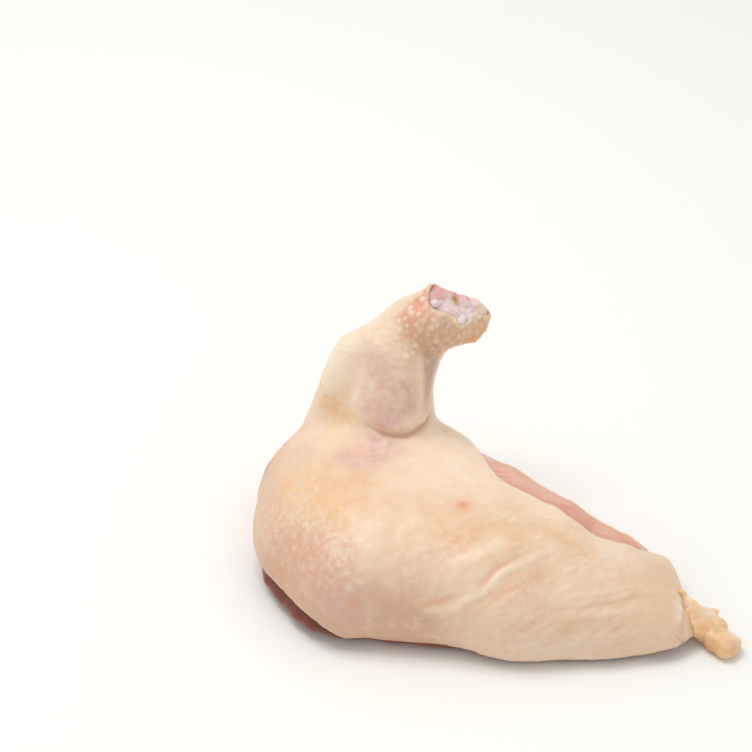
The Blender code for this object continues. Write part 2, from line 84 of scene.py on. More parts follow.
# The bare meat behind the skin's upper edge, where it stands proud of it and is filmed over.
BARE_STREAK = ((0, 22, 34.5), (8, 17, 33), (18, 9, 30), (28, 3, 27), (39, -3, 23), (55, -7, 17))
BARE_KNOBS = ((8, 19, 33, 5, 0.9), (29, 3, 27, 6, 0.8), (52, -6, 18, 6, 1.0),
              (59, -9, 16, 7, 1.0))
BARE_WIDTH = 3.2            # the streak's half width
BARE_RISE = 0.9             # how far the streak stands proud, and the knobs on it
KNOB_RISE = 1.2
FRONT_TUCK = 2.2            # how far the low front is drawn back


def linear(code):
    """An sRGB hex colour as the linear numbers that a shader takes."""
    values = [int(code[place:place + 2], 16) / 255.0 for place in (1, 3, 5)]
    return tuple(v / 12.92 if v <= 0.04045 else ((v + 0.055) / 1.055) ** 2.4 for v in values) + (1.0,)


def welded(node, limit=50.0):
    """A solid's mesh as a bmesh, with its corners welded and its triangles paired into quads."""
    work = bmesh.new()
    work.from_mesh(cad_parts[node].data)
    bmesh.ops.remove_doubles(work, verts=work.verts[:], dist=0.01 * MM)
    bmesh.ops.join_triangles(work, faces=work.faces[:], angle_face_threshold=math.radians(limit),
                             angle_shape_threshold=math.radians(limit))
    return work


def new_piece(name, work):
    """An object made of a bmesh, which is then used up."""
    mesh = bpy.data.meshes.new(name)
    work.to_mesh(mesh)
    work.free()
    piece = bpy.data.objects.new(name, mesh)
    bpy.context.scene.collection.objects.link(piece)
    return piece


def settle(piece):
    """Turn what a piece's modifiers make of it into its own smooth mesh."""
    bpy.context.view_layer.update()
    graph = bpy.context.evaluated_depsgraph_get()
    mesh = bpy.data.meshes.new_from_object(piece.evaluated_get(graph), depsgraph=graph)
    piece.modifiers.clear()
    piece.data = mesh
    mesh.shade_smooth()


def rounded(piece, levels):
    """Round a coarse mesh off with a subdivision surface."""
    smooth = piece.modifiers.new("round", "SUBSURF")
    smooth.levels = levels
    smooth.render_levels = levels
    settle(piece)


def even_quads(piece, voxel, rounds):
    """Cover a piece with even small quads, as fine as its relief needs, and relax them."""
    wrap = piece.modifiers.new("quads", "REMESH")
    wrap.mode = "VOXEL"
    wrap.voxel_size = voxel * MM
    relax = piece.modifiers.new("relax", "SMOOTH")
    relax.factor = 0.5
    relax.iterations = rounds
    settle(piece)


def add_lump(work, place, radii, turn=Matrix.Identity(3)):
    """Put an egg-shaped lump into a bmesh, to be merged when it is covered with even quads."""
    scaled = Matrix.Diagonal(Vector(radii) * MM)
    matrix = Matrix.Translation(Vector(place) * MM) @ (turn @ scaled).to_4x4()
    bmesh.ops.create_icosphere(work, subdivisions=3, radius=1.0, matrix=matrix)


def at_elbow(right, back, out):
    """A place given from the middle of the elbow's cut, in millimetres."""
    return Vector(ELBOW_MIDDLE) + right * ELBOW_RIGHT + back * ELBOW_BACK + out * ELBOW_OUT


elbow_turn = Matrix((ELBOW_RIGHT, ELBOW_BACK, ELBOW_OUT)).transposed()


def places(mesh):
    """Vertex positions in millimetres."""
    flat = np.empty(len(mesh.vertices) * 3, np.float32)
    mesh.vertices.foreach_get("co", flat)
    return flat.reshape(-1, 3).astype(float) / MM


def put(mesh, points):
    """Move the vertices to positions in millimetres."""
    mesh.vertices.foreach_set("co", (np.asarray(points) * MM).astype(np.float32).ravel())
    mesh.update()


def facings(mesh):
    """Vertex normals."""
    flat = np.empty(len(mesh.vertices) * 3, np.float32)
    mesh.vertex_normals.foreach_get("vector", flat)
    return flat.reshape(-1, 3).astype(float)


def rise(low, high, value):
    """Rise smoothly from 0 at low to 1 at high."""
    t = np.clip((value - low) / (high - low), 0.0, 1.0)
    return t * t * (3.0 - 2.0 * t)


def grain(points, size, shift=0.0, depth=3):
    """Soft random relief of about -1 to 1, with features of this size in millimetres."""
    return np.array([noise.fractal(Vector(spot), 0.9, 2.0, depth) for spot in points / size + shift])


def rows(points, way, length, width, shift=0.0):
    """Soft random relief that is drawn out along a direction."""
    way = np.array(way, float) / np.linalg.norm(way)
    along = np.outer(points @ way, way)
    return grain((points - along) / width + along / length, 1.0, shift, 2)


def patches(points, spots):
    """How much each point lies in soft round patches, given as (x, y, z, reach, strength)."""
    total = np.zeros(len(points))
    for x, y, z, reach, strength in spots:
        away = np.linalg.norm(points - np.array((x, y, z), float), axis=1)
        total += strength * np.exp(-(away / reach) ** 2)
    return np.clip(total, 0.0, 1.0)


def line_field(points, line):
    """How far each point is from a line of stations, and how far along it, from 0 to 1."""
    line = np.array(line, float)
    best = np.full(len(points), np.inf)
    along = np.zeros(len(points))
    for index in range(len(line) - 1):
        step = line[index + 1] - line[index]
        t = np.clip(((points - line[index]) @ step) / (step @ step), 0.0, 1.0)
        away = np.linalg.norm(points - line[index] - t[:, None] * step, axis=1)
        nearer = away < best
        best[nearer] = away[nearer]
        along[nearer] = (index + t[nearer]) / (len(line) - 1)
    return best, along


def drawn(points, line, width):
    """1 along the middle of a line, fading out to its sides and at its ends."""
    away, along = line_field(points, line)
    return np.exp(-(away / width) ** 2) * np.sin(math.pi * along) ** 0.5


def tucked(points):
    """The low front drawn back a little, where it rolls under."""
    x, y, z = points.T
    tuck = rise(14.0, 3.0, z) * rise(-56.0, -42.0, x) * rise(4.0, -14.0, x) * rise(-30.0, -40.0, y)
    return points + np.outer(FRONT_TUCK * tuck, (0.0, 1.0, 0.0))


def spread_foot(points):
    """The foot pressed outward by the weight on it, in front, away from the piece's middle line."""
    x, y, z = points.T
    line = np.column_stack((np.clip(x, -50.0, 30.0), 8.0 - 0.25 * (np.clip(x, -50.0, 30.0) + 50.0)))
    away = points[:, :2] - line
    distance = np.linalg.norm(away, axis=1) + 0.01
    below_hem = np.interp(x, (-66.0, -52.0), (9.0, 6.6))
    reach = np.interp(x, *np.array(FOOT_REACH, float).T) * rise(0.0, 4.4, below_hem - z)
    reach *= rise(12.0, 34.0, distance) * rise(4.0, -8.0, y)
    return points + np.column_stack((away * (reach / distance)[:, None], np.zeros(len(points))))


def mark(mesh, name, values):
    """Keep a value for each vertex, for the material to read."""
    layer = mesh.attributes.new(name, "FLOAT", "POINT")
    layer.data.foreach_set("value", np.clip(values, 0.0, 1.0).astype(np.float32))


def node(tree, kind, settings=(), links=()):
    """Add a node to a material with its settings and with what feeds its inputs."""
    added = tree.nodes.new(kind)
    for name, value in dict(settings).items():
        setattr(added, name, value)
    for socket, source in dict(links).items():
        if isinstance(source, bpy.types.NodeSocket):
            tree.links.new(source, added.inputs[socket])
        else:
            added.inputs[socket].default_value = source
    return added


def new_material(name, radius, **sockets):
    """A soft wet material with its uniform values set on the shader's own sockets."""
    material = bpy.data.materials.new(name)
    material.use_nodes = True
    shader = material.node_tree.nodes["Principled BSDF"]
    shader.inputs["Subsurface Radius"].default_value = radius
    for socket, value in sockets.items():
        shader.inputs[socket.replace("_", " ")].default_value = value
    return material, material.node_tree, shader


def tinted(tree, base, where, mask, size, low, high, code):
    """Lay a tint over a colour where the mesh is marked, in cloudy patches of a size in mm."""
    marked = node(tree, "ShaderNodeAttribute", {"attribute_name": mask})
    clouds = node(tree, "ShaderNodeTexNoise", links={
        "Vector": where, "Scale": 1000.0 / size, "Detail": 3.0, "Roughness": 0.6})
    share = node(tree, "ShaderNodeMapRange", links={
        "Value": clouds.outputs["Fac"], "From Min": low, "From Max": high})
    both = node(tree, "ShaderNodeMath", {"operation": "MULTIPLY"},
                {0: marked.outputs["Fac"], 1: share.outputs["Result"]})
    mix = node(tree, "ShaderNodeMix", {"data_type": "RGBA"},
               {0: both.outputs[0], 6: base, 7: linear(code)})
    return mix.outputs[2]


def raw_meat():
    """Raw poultry meat, sliced: pink, streaked by its fibres, filmed with fat, wet all over, with
    painted shade: redder and darker low in front and at the left end, under the skin's hem.
    """
    material, tree, shader = new_material(
        "raw_meat", (1.0, 0.4, 0.25), Roughness=0.36, IOR=1.4, Subsurface_Weight=0.5,
        Subsurface_Scale=0.0025, Coat_Weight=0.2, Coat_Roughness=0.2)
    where = node(tree, "ShaderNodeTexCoord").outputs["Object"]
    along = node(tree, "ShaderNodeMapping", links={
        "Vector": where, "Scale": (1000 / FIBRE_LENGTH, 1000 / FIBRE_WIDTH, 1000 / FIBRE_WIDTH)})
    fibres = node(tree, "ShaderNodeTexNoise", links={
        "Vector": along.outputs["Vector"], "Scale": 1.0, "Detail": 4.0, "Roughness": 0.55})
    streaks = node(tree, "ShaderNodeMapRange", links={
        "Value": fibres.outputs["Fac"], "From Min": 0.38, "From Max": 0.66})
    colour = node(tree, "ShaderNodeMix", {"data_type": "RGBA"}, {
        0: streaks.outputs["Result"], 6: linear("#E5AD9B"), 7: linear("#E9B8A6")}).outputs[2]
    for mask, size, low, high, code in (
            ("red_meat_and_painted_shade", 9.0, 0.3, 0.55, "#CC7F6C"), ("painted_shade_meat", 6.0, 0.0, 0.3, "#8A4A3B"),
            ("film", 5.0, 0.25, 0.55, "#E3A981"), ("elbow_flesh", 2.5, 0.1, 0.4, "#E6C4BA"),
            ("elbow_pale", 1.8, 0.35, 0.65, "#EADDDF"), ("elbow_cream", 2.0, 0.2, 0.6, "#E9D0B6"),
            ("elbow_pink", 2.4, 0.2, 0.6, "#DE9D9A"), ("marrow", 2.0, 0.1, 0.3, "#BE8245")):
        colour = tinted(tree, colour, where, mask, size, low, high, code)
    tree.links.new(colour, shader.inputs["Base Color"])
    relief = node(tree, "ShaderNodeBump", links={
        "Height": fibres.outputs["Fac"], "Strength": 0.15, "Distance": 0.0004})
    tree.links.new(relief.outputs["Normal"], shader.inputs["Normal"])
    return material


work = welded("breast_meat")
for right, back, out, *radii in FLESH_SWELLS:
    add_lump(work, at_elbow(right, back, out), radii, elbow_turn)
meat = new_piece("meat", work)
rounded(meat, 1)
even_quads(meat, MEAT_VOXEL, 4)
points = places(meat.data)
in_elbow = rise(-9.0, -6.0, (points - np.array(ELBOW_MIDDLE)) @ np.array(ELBOW_OUT))
lengths = 1.0 - in_elbow
off_board = rise(0.3, 3.0, points[:, 2])
bare = drawn(points, BARE_STREAK, BARE_WIDTH)
swell = off_board * lengths * (0.35 * rows(points, (1, 0, 0), 34.0, 6.0, 3.1)
                               + 0.06 * rows(points, (1, 0, 0), FIBRE_LENGTH, FIBRE_WIDTH, 7.7))
swell += in_elbow * (0.3 * grain(points, 2.6, 17.0, 2) + 0.12 * grain(points, 1.2, 31.0, 2))
swell += BARE_RISE * bare + KNOB_RISE * patches(points, BARE_KNOBS)
points = spread_foot(tucked(points + facings(meat.data) * swell[:, None]))
put(meat.data, points)
x, y, z = points.T
elbow_spots = (np.array(points) - np.array(ELBOW_MIDDLE)) @ np.array(elbow_turn)
mark(meat.data, "film", rise(14.0, 18.0, z) * lengths
     * (0.6 * rise(0.2, 0.6, rows(points, (1, 0, 0), 40.0, 7.0, 21.3)) + 1.0 * bare))
# redder meat: the fibres' own streaks, plus painted shade low in front and at the left end, under the
# skin's hem
mark(meat.data, "red_meat_and_painted_shade", lengths * (0.4 * rise(0.0, 0.5, rows(points, (1, 0, 0), 20.0, 8.0, 12.0))
                                       + rise(14.0, 8.0, z) * rise(10.0, -10.0, y)
                                       + rise(-70.0, -78.0, x)))
# painted shade: the meat low in front under the skin's hem, darkened as if in the hem's shadow
mark(meat.data, "painted_shade_meat", lengths * rise(15.0, 11.0, z) * rise(8.0, -6.0, y) * rise(40.0, 20.0, x))
mark(meat.data, "elbow_flesh", in_elbow)
mark(meat.data, "elbow_pale", in_elbow * rise(-9.0, -4.0, elbow_spots[:, 0]))
mark(meat.data, "elbow_cream", in_elbow * rise(3.0, 8.0, elbow_spots[:, 0]))
mark(meat.data, "elbow_pink", in_elbow * (0.8 * rise(4.6, 6.6, elbow_spots[:, 1])
                                          + 0.5 * rise(-5.0, -8.5, elbow_spots[:, 0]))
     * rise(6.0, 2.0, elbow_spots[:, 0]))
mark(meat.data, "marrow", patches(points, [tuple(at_elbow(*spot[:3])) + spot[3:]
                                           for spot in AMBER_SPOTS]))
meat.data.materials.append(raw_meat())
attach(meat, "root")
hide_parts("breast_meat")


# The elbow's knuckles: lobes of gristle on the end of the wing bone, white with a lavender cast,
# smooth and wet. The bone's shaft below them is hidden in the stump.
KNUCKLE_VOXEL = 0.35
# right, back and out from the middle of the cut, and the radius
KNUCKLE_LOBES = ((-9.0, 0.6, -0.8, 2.3), (-7.4, 1.9, -1.4, 2.4), (2.0, -2.8, -1.6, 2.4),
                 (3.0, -0.6, -1.2, 2.3), (4.2, 1.2, -1.1, 2.2), (4.8, 3.0, -0.9, 2.2),
                 (7.6, 3.9, -1.3, 2.3))
KNUCKLE_SINK = 2.4
SHAFT_SLACK = 1.1           # how far the hidden shaft stays clear of the skin's deepest crease
HEAD_DENT = 1.8             # how much the head is drawn in behind the rim's front
DENT_PLACE = (7.4, -0.8, -1.2)
DENT_REACH = 3.0


def wet_gristle():
    """Gristle, cut raw: nearly white, cool and glassy, pink where flesh lies under it."""
    material, tree, shader = new_material(
        "wet_gristle", (1.0, 0.7, 0.7), Roughness=0.3, IOR=1.42, Subsurface_Weight=0.5,
        Subsurface_Scale=0.0015, Coat_Weight=0.25, Coat_Roughness=0.15)
    where = node(tree, "ShaderNodeTexCoord").outputs["Object"]
    clouds = node(tree, "ShaderNodeTexNoise", links={
        "Vector": where, "Scale": 1000 / 2.0, "Detail": 3.0})
    patchy = node(tree, "ShaderNodeMapRange", links={
        "Value": clouds.outputs["Fac"], "From Min": 0.42, "From Max": 0.62})
    colour = node(tree, "ShaderNodeMix", {"data_type": "RGBA"}, {
        0: patchy.outputs["Result"], 6: linear("#E4D8DC"), 7: linear("#E6CBC7")}).outputs[2]
    tree.links.new(colour, shader.inputs["Base Color"])
    return material


work = welded("wing_bone")
for vert in work.verts:
    height = (vert.co / MM - Vector(ELBOW_MIDDLE)).dot(ELBOW_OUT)
    vert.co -= ELBOW_OUT * (KNUCKLE_SINK * float(rise(-12.0, -3.0, height)) * MM)
for right, back, out, radius in KNUCKLE_LOBES:
    add_lump(work, at_elbow(right, back, out), (radius, radius, radius))
knuckles = new_piece("knuckles", work)
even_quads(knuckles, KNUCKLE_VOXEL, 10)
points = places(knuckles.data)
height = (points - np.array(ELBOW_MIDDLE)) @ np.array(ELBOW_OUT)
slack = SHAFT_SLACK * rise(-2.4, -5.0, height)
slack += HEAD_DENT * patches(points, (tuple(at_elbow(*DENT_PLACE)) + (DENT_REACH, 1.0),))
put(knuckles.data, points + facings(knuckles.data) * (0.18 * grain(points, 1.8) - slack)[:, None])
knuckles.data.materials.append(wet_gristle())
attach(knuckles, "root")
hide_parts("wing_bone")


# The skin: one sheet with its fat on the inside, grown to the meat, slack over the breast and
# tight round the wing stump. It is thin enough for the flesh and the yellow fat to show through.
SKIN_THICK = 1.8
EDGE_THICK = 1.1
EDGE_ROUND = 0.9            # width over which the cut edge is rounded off
HEM_WAVE = 0.4              # how far the cut edge wanders from a smooth line
RIM_BULGE = 0.3
EDGE_FALL = 0.45            # how far the cut edge is rounded down
ELBOW_THINNING = 0.5        # the share of its thickness that the skin loses up to the elbow
CLIMB_MOST = 6.0            # the furthest that the hem may be drawn up
CLIMB_FADE = 10.0           # how far from the hem the drawing up is felt
# How high the hem is drawn up in front, by x.
HEM_HEIGHT = ((-60, 6.0), (-55, 5.2), (-50, 5.4), (-40, 5.4), (-28, 5.0), (-15, 5.0), (-6, 5.2),
              (-2, 4.6), (4, 3.4), (10, 2.0), (16, 0.0), (46, 0.0), (56, 3.8), (62, 5.2), (72, 5.6))
# Where the skin's rim lies over the elbow's cut, by the angle round it: right, back, out.
ELBOW_RIM = ((-180, -11.6, -0.2, 0.4), (-166, -10.9, -1.6, 0.6), (-154, -9.6, -2.6, 0.8),
             (-142, -7.8, -3.0, 1.0), (-128, -5.2, -2.7, 1.1), (-111, -2.4, -2.4, 1.0),
             (-93, -0.5, -4.4, 0.4), (-74, 1.4, -6.2, -0.1), (-55, 3.6, -5.2, 0.1),
             (-42, 4.8, -2.8, 0.7), (-30, 6.5, 0.0, 1.0), (-18, 8.2, 2.0, 1.0),
             (-7, 9.8, 3.2, 0.8), (5, 11.2, 4.2, 0.5), (16, 12.2, 5.6, 0.4), (28, 11.0, 6.8, 0.2),
             (40, 8.6, 7.6, -0.3), (58, 5.2, 8.2, -0.8), (75, 2.3, 8.2, -1.0),
             (100, -1.6, 8.6, -1.0), (118, -5.0, 8.7, -0.2), (133, -9.7, 8.8, 1.0),
             (146, -12.2, 6.8, 2.5), (159, -13.2, 5.0, 2.8), (171, -12.4, 2.0, 1.2),
             (180, -11.6, -0.2, 0.4))
# Where the form stands out more, or less, than its solid: x, y, z, reach and height.
SWELLS = ((-30, 41.8, 91, 6.0, -1.5), (-9, 31.5, 77.5, 6.0, -1.9), (-2.0, 40.5, 80, 4.5, 1.5),
          (-21.5, 27.5, 52, 7.0, -1.3), (-17.3, 33.5, 36.7, 8.0, 1.4), (-53, 38, 73, 8.0, 1.2),
          (-38, 20, 57, 9.0, 0.9), (62, -14, 14, 8.0, 1.3))
# Where the stump's foot meets the breast, from the left round to the right.
CREASE = ((-48, 21, 48.5), (-43.5, 18.5, 49), (-40.5, 17, 48.2), (-38, 16, 47.6), (-35, 16, 47.2),
          (-31.5, 16.5, 46.8), (-28.5, 18.5, 46.8), (-25.5, 21.5, 46.8), (-23, 25, 47.2),
          (-21.5, 28.5, 48))
CREASE_DEPTH = 1.1
CREASE_BULGE = 0.9          # how far the foot bulges over the crease
# The main fold: a thin ridge that carries a painted highlight, a rosy groove above it, and a soft
# hollow below it, tinted brownish as painted shade.
FOLD_RIDGE = ((-14.5, -48.5, 23.5), (-12, -48, 25), (-8, -48, 27), (-4, -46.5, 29.5),
              (-1, -44.5, 31.5), (1, -42.5, 33), (5, -40, 34), (11, -37, 34), (15, -33.5, 34.5),
              (19.5, -30.5, 34.5), (23.5, -27.5, 34))
FOLD_TAIL = ((-27, -48, 20), (-20, -48.5, 21.5), (-14.5, -48.5, 23), (-9, -47.5, 26.5))
FOLD_GROOVE = ((-7.5, -46, 29), (-5, -45, 31), (-2.5, -43, 33), (0.5, -41, 34.5),
               (4, -38.5, 35.5), (8, -36, 35.5))
LEFT_GROOVE = ((-27.5, -47.5, 22), (-24, -47.5, 23), (-20, -47, 24.5), (-15, -47, 26.5),
               (-10, -46.5, 28.5))
BELOW_FOLD = ((-13, -49.5, 22), (-6, -49, 25.5), (1, -47.5, 29), (8, -44.5, 30.5),
              (15, -41.5, 30.5), (21.5, -39, 30.5))
UPPER_RIDGE = ((-17, -40.5, 34.5), (-13, -39.5, 35.5), (-8, -38.5, 37), (-2.5, -35, 38.5),
               (4, -31.5, 38.5))
TIP_LINE = ((17.5, -50, 22.5), (24, -48.5, 22.5), (31.5, -47.5, 22), (36, -46, 22),
            (43, -44, 21.5), (47.5, -41.5, 21), (54.5, -38, 19), (65, -29.5, 11))
TIP_SEAM = ((68, -20.5, 6), (68, -26, 6.5), (67.5, -33.5, 8.5), (66.5, -40.5, 10.5),
            (66, -44.5, 9.5), (65, -48, 8))
# The stump's right side, turned from the lamp, and the facet beside it are darkened in colour as
# painted shade.
STUMP_SIDE = ((-24.5, 27, 80), (-24, 27, 69), (-23.5, 27, 59.5), (-23.5, 25.5, 50))
STUMP_FACET = ((-22.5, 29, 81), (-21.5, 29.5, 69), (-21.5, 29.5, 59.5), (-22, 28, 50))
STUMP_PALE = ((-27, 27, 80.5), (-26.5, 26, 73.5), (-26, 25.5, 65.5), (-26, 24, 57.5),
              (-27, 21.5, 51.5))
SHOULDER_LINE = ((-66, 21.5, 38.5), (-67, 1.5, 38.5), (-68.5, -13, 35.5), (-69, -19, 32.5),
                 (-69, -24.5, 30), (-70, -27.5, 25.5), (-72.5, -31.5, 15.5))
# The lesser relief: a line, its half width and its height in the middle.
GATHERS = ((FOLD_GROOVE, 1.5, -0.35), (LEFT_GROOVE, 1.5, -0.3), (FOLD_RIDGE, 1.3, 0.4),
           (FOLD_TAIL, 1.4, 0.25), (BELOW_FOLD, 3.4, -0.45), (UPPER_RIDGE, 2.2, 0.25),
           (TIP_LINE, 0.8, -0.2), (SHOULDER_LINE, 1.2, -0.3), (TIP_SEAM, 1.1, -0.4),
           (STUMP_SIDE, 1.8, -0.3), (STUMP_PALE, 1.3, 0.25),
           (((22, -46.5, 25), (32.5, -44, 24.5), (43.5, -39.5, 23), (55, -34.5, 19.5)), 1.0, 0.3),
           (((15, -52.5, 20), (25.5, -51, 19.5), (36, -49, 19.5), (50.5, -45.5, 18),
             (61.5, -40.5, 14.5)), 1.1, 0.3),
           (((8, -55.5, 14), (22, -54, 14.5), (36, -52.5, 15), (50.5, -49.5, 14.5)), 1.1, -0.3))
FOLD_WAY = (0.85, 0.47, 0.23)
LEFT_TRACT_GAP = 2.8        # from follicle to follicle, on the shoulder
ELBOW_TRACT_GAP = 2.3       # and at the elbow
STRAY_GAP = 7.0             # and everywhere else
FOLLICLE_HEIGHTS = (0.2, 0.55, 0.12)
FOLLICLE_WIDTHS = (0.9, 1.0, 0.8)
RIB_PITCH = 2.0             # from rib to rib on the web beside the stump
SPECKLE_SIZE = 2.0
STREAK_LENGTH = 16.0
STREAK_WIDTH = 1.8


def outer_sheet():
    """The outer face of the skin's solid, up to where it turns over its cut edge."""
    work = welded("skin", 0.0)
    top = max(work.faces, key=lambda face: face.calc_center_median().z)
    sheet = {top}
    stack = [top]
    while stack:
        for edge in stack.pop().edges:
            if edge.calc_face_angle(math.pi) > math.radians(50.0):
                continue
            for face in edge.link_faces:
                if face not in sheet:
                    sheet.add(face)
                    stack.append(face)
    rest = [face for face in work.faces if face not in sheet]
    bmesh.ops.delete(work, geom=rest, context="FACES")
    bmesh.ops.join_triangles(work, faces=work.faces[:], angle_face_threshold=math.radians(60.0),
                             angle_shape_threshold=math.radians(70.0))
    return work


def strewn(points, share, gap, random):
    """Spots picked at random, at least a gap apart, only as often as their share says."""
    taken = {}
    for index in random.permutation(len(points)):
        if random.random() > share[index]:
            continue
        spot = points[index]
        cell = tuple((spot // gap).astype(int))
        around = [taken.get((cell[0] + i, cell[1] + j, cell[2] + k))
                  for i in (-1, 0, 1) for j in (-1, 0, 1) for k in (-1, 0, 1)]
        if all(other is None or np.linalg.norm(other - spot) > gap for other in around):
            taken[cell] = spot
    return np.array(list(taken.values()))


def nearest(points, spots):
    """Distance from each point to the nearest spot, and which spot that is."""
    tree = KDTree(len(spots))
    for index, spot in enumerate(spots):
        tree.insert(Vector(spot), index)
    tree.balance()
    found = [tree.find(Vector(point)) for point in points]
    return np.array([item[2] for item in found]), np.array([item[1] for item in found])


sheet = new_piece("sheet", outer_sheet())
rounded(sheet, 1)
coarse_faces = [tuple(face.vertices) for face in sheet.data.polygons]
coarse_count = len(sheet.data.vertices)
work = bmesh.new()
work.from_mesh(sheet.data)
bmesh.ops.subdivide_edges(work, edges=work.edges[:], cuts=2, use_grid_fill=True)
work.to_mesh(sheet.data)
work.free()

# the cut edge: each of its vertices, the one that follows it, and which way is outward
quads = np.array([tuple(face.vertices) for face in sheet.data.polygons])
count = len(sheet.data.vertices)
forward = set(zip(quads.ravel().tolist(), np.roll(quads, -1, axis=1).ravel().tolist()))
following = {a: b for a, b in forward if (b, a) not in forward}
preceding = {b: a for a, b in following.items()}
edge_verts = np.array(sorted(following))
ahead = np.array([following[index] for index in edge_verts.tolist()])
behind = np.array([preceding[index] for index in edge_verts.tolist()])


def relaxed(points, rounds):
    """Even the sheet out without shrinking it, its cut edge only along itself."""
    pairs = np.array(sorted(forward | {(b, a) for a, b in forward}))
    number = np.bincount(pairs[:, 0], minlength=len(points))[:, None]
    for _ in range(rounds):
        total = np.column_stack([np.bincount(pairs[:, 0], points[pairs[:, 1], axis], len(points))
                                 for axis in range(3)])
        moved = 0.5 * points + 0.5 * total / number
        moved[edge_verts] = 0.5 * points[edge_verts] + 0.25 * (points[ahead] + points[behind])
        points = moved
    return points


def edge_outward(points, normal):
    """The way out of the sheet at each vertex of its cut edge."""
    out = np.cross(points[ahead] - points[behind], normal[edge_verts])
    return out / np.linalg.norm(out, axis=1)[:, None]


points = relaxed(places(sheet.data), 6)
edge_points = points[edge_verts]
edge_away, edge_near = nearest(points, edge_points)
from_edge = edge_points[edge_near]

# the hem is drawn up the meat in front, along the form it lies on
form = BVHTree.FromPolygons(points.tolist(), quads.tolist())
hem_x, hem_height = np.array(HEM_HEIGHT, float).T
in_front = rise(0.0, -12.0, from_edge[:, 1]) * rise(-64.0, -58.0, from_edge[:, 0])
climb = np.interp(from_edge[:, 0], hem_x, hem_height) - from_edge[:, 2]
climb = np.clip(climb, 0.0, CLIMB_MOST)
climb *= in_front * (1.0 - rise(0.0, CLIMB_FADE, edge_away))
drawn_up = points + np.outer(climb, (0.0, 0.0, 1.0))
for index in np.nonzero(climb > 0.02)[0]:
    drawn_up[index] = form.find_nearest(Vector(drawn_up[index]))[0]
points = tucked(drawn_up)

# the rim lies in over the elbow's cut
turn = np.array(elbow_turn)
local = (from_edge - np.array(ELBOW_MIDDLE)) @ turn
angle = np.degrees(np.arctan2(local[:, 1], local[:, 0]))
rim = np.array(ELBOW_RIM, float)
aim = np.column_stack([np.interp(angle, rim[:, 0], rim[:, column]) for column in (1, 2, 3)])
pull = (aim - local) @ turn.T
curl = (1.0 - rise(0.0, 7.0, edge_away)) ** 1.5 * rise(70.0, 74.0, from_edge[:, 2])
points = points + pull * curl[:, None]
put(sheet.data, points)
normal = facings(sheet.data)

# the wandering line of the cut
wave = grain(edge_points, 5.0, 11.0)
outward = edge_outward(points, normal)
hem = wave[edge_near] * HEM_WAVE * np.exp(-(edge_away / 2.5) ** 2)
points = points + outward[edge_near] * hem[:, None]

# slack, folds, and the crease round the stump's foot with the foot bulging over it
crease_away, crease_along = line_field(points, CREASE)
crease_end = rise(0.0, 0.25, crease_along) * rise(1.0, 0.93, crease_along)
above_crease = rise(-2.0, 2.0, points[:, 2] - 48.0)
lift = 0.15 - CREASE_DEPTH * np.exp(-(crease_away / 1.0) ** 2) * crease_end
lift += CREASE_BULGE * np.exp(-((crease_away - 3.4) / 2.4) ** 2) * crease_end * (0.3 + above_crease)
for x, y, z, reach, height in SWELLS:
    lift += height * patches(points, ((x, y, z, reach, 1.0),))
lift += 0.4 * grain(points, 16.0, 5.0, 2) + 0.2 * grain(points, 6.0, 9.0, 2)
for line, width, height in GATHERS:
    lift += height * drawn(points, line, width)
points = points + normal * lift[:, None]
put(sheet.data, points)
normal = facings(sheet.data)
base_points = points.copy()
base_normal = normal.copy()

# follicles, crinkles and stretch lines
x, y, z = points.T
shoulder = rise(-38.0, -50.0, x) * rise(2.0, -9.0, y) * rise(19.0, 27.0, z) * rise(43.0, 39.0, z)
elbow = patches(points, ((-27, 33, 88, 8, 1.0), (-22, 28, 84, 8, 1.0), (-19, 29, 80, 7, 1.0),
                         (-10, 31, 82, 8, 0.9), (-3, 38, 80, 7, 0.8), (-28, 42, 90, 7, 0.6)))
random = np.random.default_rng(5)
follicles = [strewn(points, 0.03 * shoulder, LEFT_TRACT_GAP, random),
             strewn(points, elbow, ELBOW_TRACT_GAP, random),
             strewn(points, np.full(count, 0.02), STRAY_GAP, random)]
bumps = []
for spots, height, width in zip(follicles, FOLLICLE_HEIGHTS, FOLLICLE_WIDTHS):
    pit_away, pit_near = nearest(points, spots)
    size = random.uniform(0.2, 1.1, len(spots))
    girth = width * random.uniform(0.75, 1.3, len(spots))
    bumps.append(height * size[pit_near] * np.exp(-(pit_away / girth[pit_near]) ** 2))
web = patches(points, ((-59, 37, 63, 7, 1.0), (-60, 37, 55, 7, 0.9), (-55, 37, 69, 7, 0.8)))
web_stripes = np.sin(2 * math.pi * (z + 0.3 * y) / RIB_PITCH + 2.6 * grain(points, 5.0, 8.0, 2))
web_stripes *= rise(-0.5, 0.3, grain(points, 6.0, 27.0, 2))
rough_hem = drawn(points, ((2, -56, 14), (15, -56, 11), (22, -55, 9.5), (29, -54.5, 8.5),
                           (43, -54, 8.5), (56, -51, 8)), 3.0)
speckle = grain(points, SPECKLE_SIZE, 55.0, 2)
streaks = rows(points, FOLD_WAY, STREAK_LENGTH, STREAK_WIDTH, 14.0)
to_right = rise(-40.0, -10.0, x) * rise(64.0, 44.0, x)
small = bumps[0] + bumps[1] + bumps[2] + 0.14 * web * web_stripes
small += 0.12 * streaks * to_right + (0.04 + 0.2 * rough_hem) * speckle
small -= EDGE_FALL * np.clip(1.0 - edge_away / EDGE_ROUND, 0.0, 1.0) ** 2
points = points + normal * small[:, None]

